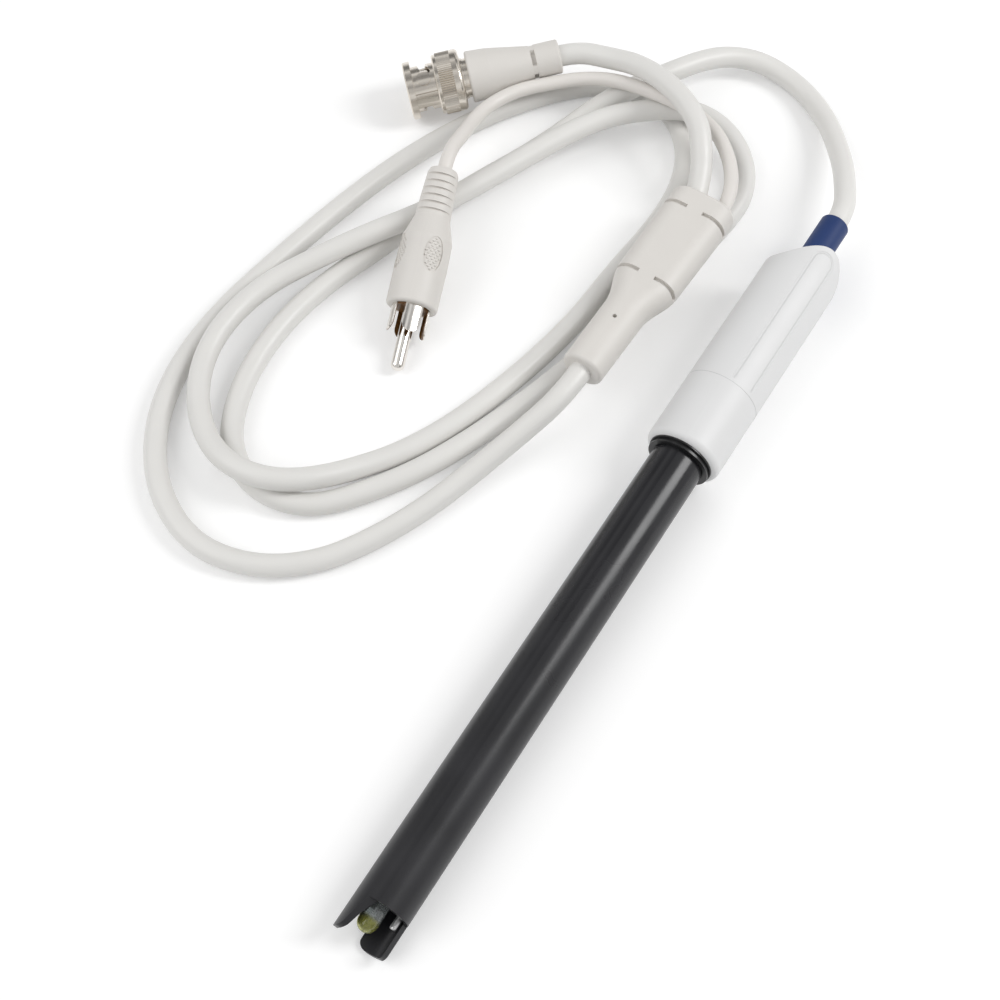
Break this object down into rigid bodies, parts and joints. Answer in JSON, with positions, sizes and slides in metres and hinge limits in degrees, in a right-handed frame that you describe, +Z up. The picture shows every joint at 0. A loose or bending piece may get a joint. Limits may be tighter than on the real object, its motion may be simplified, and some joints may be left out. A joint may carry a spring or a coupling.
{
  "type": "combination pH electrode",
  "caption": "Slim combination pH electrode with a guarded glass tip, white head and fixed cable that splits to a bayonet plug and a phono plug.",
  "frame": {"origin": "on the surface it lies on, below the middle of the probe", "axes": "+X from the glass tip along the probe to the cable end of its head, +Z up, +Y towards the cable loops"},
  "size_m": [0.2391, 0.1215, 0.0201],
  "materials": {
    "shaft_polymer": "satin charcoal polymer",
    "dark_polymer": "satin black polymer",
    "sensor_glass": "clear glass with an olive-yellow sensing end",
    "inner_rubber": "matt",
    "silver_metal": "drawn wire",
    "electrolyte": "stiff clear gel",
    "steel": "satin",
    "lead_insulation": "smooth insulation",
    "head_plastic": "cool white, satin gloss",
    "navy_plastic": "navy, satin gloss",
    "cable_jacket": "warm grey-white, satin",
    "cream_plastic": "cream moulding, satin",
    "nickel": "warm nickel plate",
    "bright_nickel": "bright nickel plate",
    "white_insulator": "white",
    "gold_pin": "gold-coloured plate",
    "brown_insulator": "brown"
  },
  "bodies": {
    "electrode": {"shaft": "shaft_polymer", "tip_plug": "dark_polymer", "glass_electrode": "sensor_glass", "stem_stopper": "inner_rubber", "silver_wire": "silver_metal", "polymer_electrolyte": "electrolyte", "reference_element": "silver_metal", "temperature_sensor": "steel", "shaft_plug": "dark_polymer", "signal_lead": "lead_insulation", "reference_lead": "lead_insulation", "sensor_leads": "lead_insulation", "collar_ring": "dark_polymer", "shaft_o_ring": "inner_rubber", "head_sleeve": "head_plastic", "head_body": "head_plastic", "strain_relief": "navy_plastic", "main_cable": "cable_jacket", "splitter": "cream_plastic", "bnc_cable": "cable_jacket", "thin_cable": "cable_jacket", "bnc_boot": "cream_plastic", "bnc_ferrule": "nickel", "bnc_body": "nickel", "bnc_insulator": "white_insulator", "bnc_pin": "gold_pin", "bnc_outer_contact": "nickel", "bnc_gasket": "inner_rubber", "wave_spring": "steel", "rca_boot": "cream_plastic", "rca_outer_contact": "bright_nickel", "rca_insulator": "brown_insulator", "rca_pin": "bright_nickel"},
    "nut_carrier": {"slip_washer": "steel"},
    "coupling_nut": {"bnc_nut": "nickel"}
  },
  "joints": [
    {"name": "nut_slide", "type": "slide", "parent": "electrode", "child": "nut_carrier", "axis": [-0.6739, 0.7272, -0.1305], "range_m": [0, 0.0008], "stiffness_N_per_m": 2000, "springref_m": -0.0005, "deforming": ["wave_spring"]},
    {"name": "nut_turn", "type": "hinge", "parent": "nut_carrier", "child": "coupling_nut", "pos_m": [0.07943, 0.10821, 0.007], "axis": [0.6739, -0.7272, 0.1305], "continuous": true}
  ]
}
